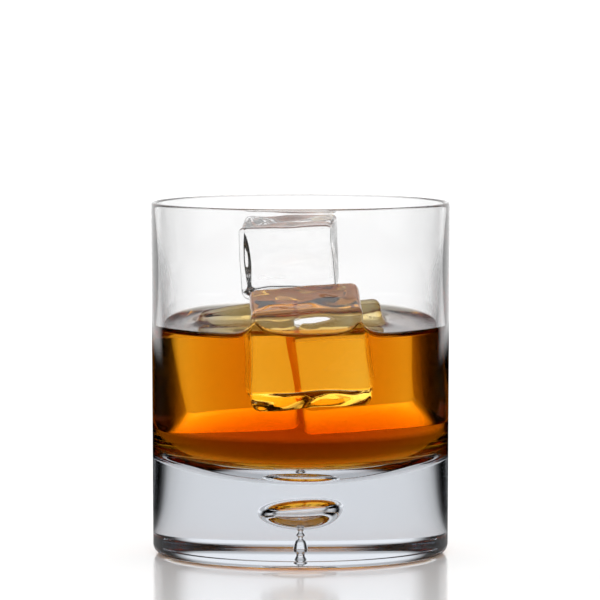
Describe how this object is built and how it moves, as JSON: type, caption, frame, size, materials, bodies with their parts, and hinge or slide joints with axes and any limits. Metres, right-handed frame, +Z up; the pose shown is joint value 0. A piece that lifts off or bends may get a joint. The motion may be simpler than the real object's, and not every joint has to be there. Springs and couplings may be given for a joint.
{
  "type": "whiskey tumbler",
  "caption": "Low straight-sided whiskey glass with a thick bubble base, part filled with whiskey and loose ice cubes that lift out.",
  "frame": {"origin": "centre of the underside, on the glass's axis, at the height of the surface it stands on", "axes": "+Z up along the glass's axis of revolution; -Y is the front, where the single front ice cube leans on the wall; +X is the viewer's right"},
  "size_m": [0.0806, 0.0806, 0.095],
  "materials": {
    "clear_glass": "polished clear soda-lime glass, faint bluish grey in the thick base",
    "amber_whiskey": "still amber liquid, deep orange to red-brown where it is thick",
    "clear_ice": "clear wet ice with wavy faces and softened edges"
  },
  "bodies": {
    "glass": {"tumbler": "clear_glass", "whiskey": "amber_whiskey"},
    "front_ice": {"ice_cube_front": "clear_ice"},
    "back_left_ice": {"ice_cube_back_left": "clear_ice"},
    "back_right_ice": {"ice_cube_back_right": "clear_ice"},
    "top_ice": {"ice_cube_top": "clear_ice"}
  },
  "joints": [
    {"name": "front_ice_lift", "type": "slide", "parent": "glass", "child": "front_ice", "axis": [0, 0, 1], "range_m": [0, 0.062], "deforming": ["whiskey"]},
    {"name": "back_right_ice_lift", "type": "slide", "parent": "glass", "child": "back_right_ice", "axis": [0, 0, 1], "range_m": [0, 0.072], "deforming": ["whiskey"]},
    {"name": "back_left_ice_lift", "type": "slide", "parent": "glass", "child": "back_left_ice", "axis": [0, 0, 1], "range_m": [0, 0.072], "deforming": ["whiskey"]},
    {"name": "top_ice_lift", "type": "slide", "parent": "back_right_ice", "child": "top_ice", "axis": [0, 0, 1], "range_m": [0, 0.038]}
  ],
  "couplings": [
    {"joint": "back_left_ice_lift", "follows": "back_right_ice_lift", "ratio": 1}
  ]
}
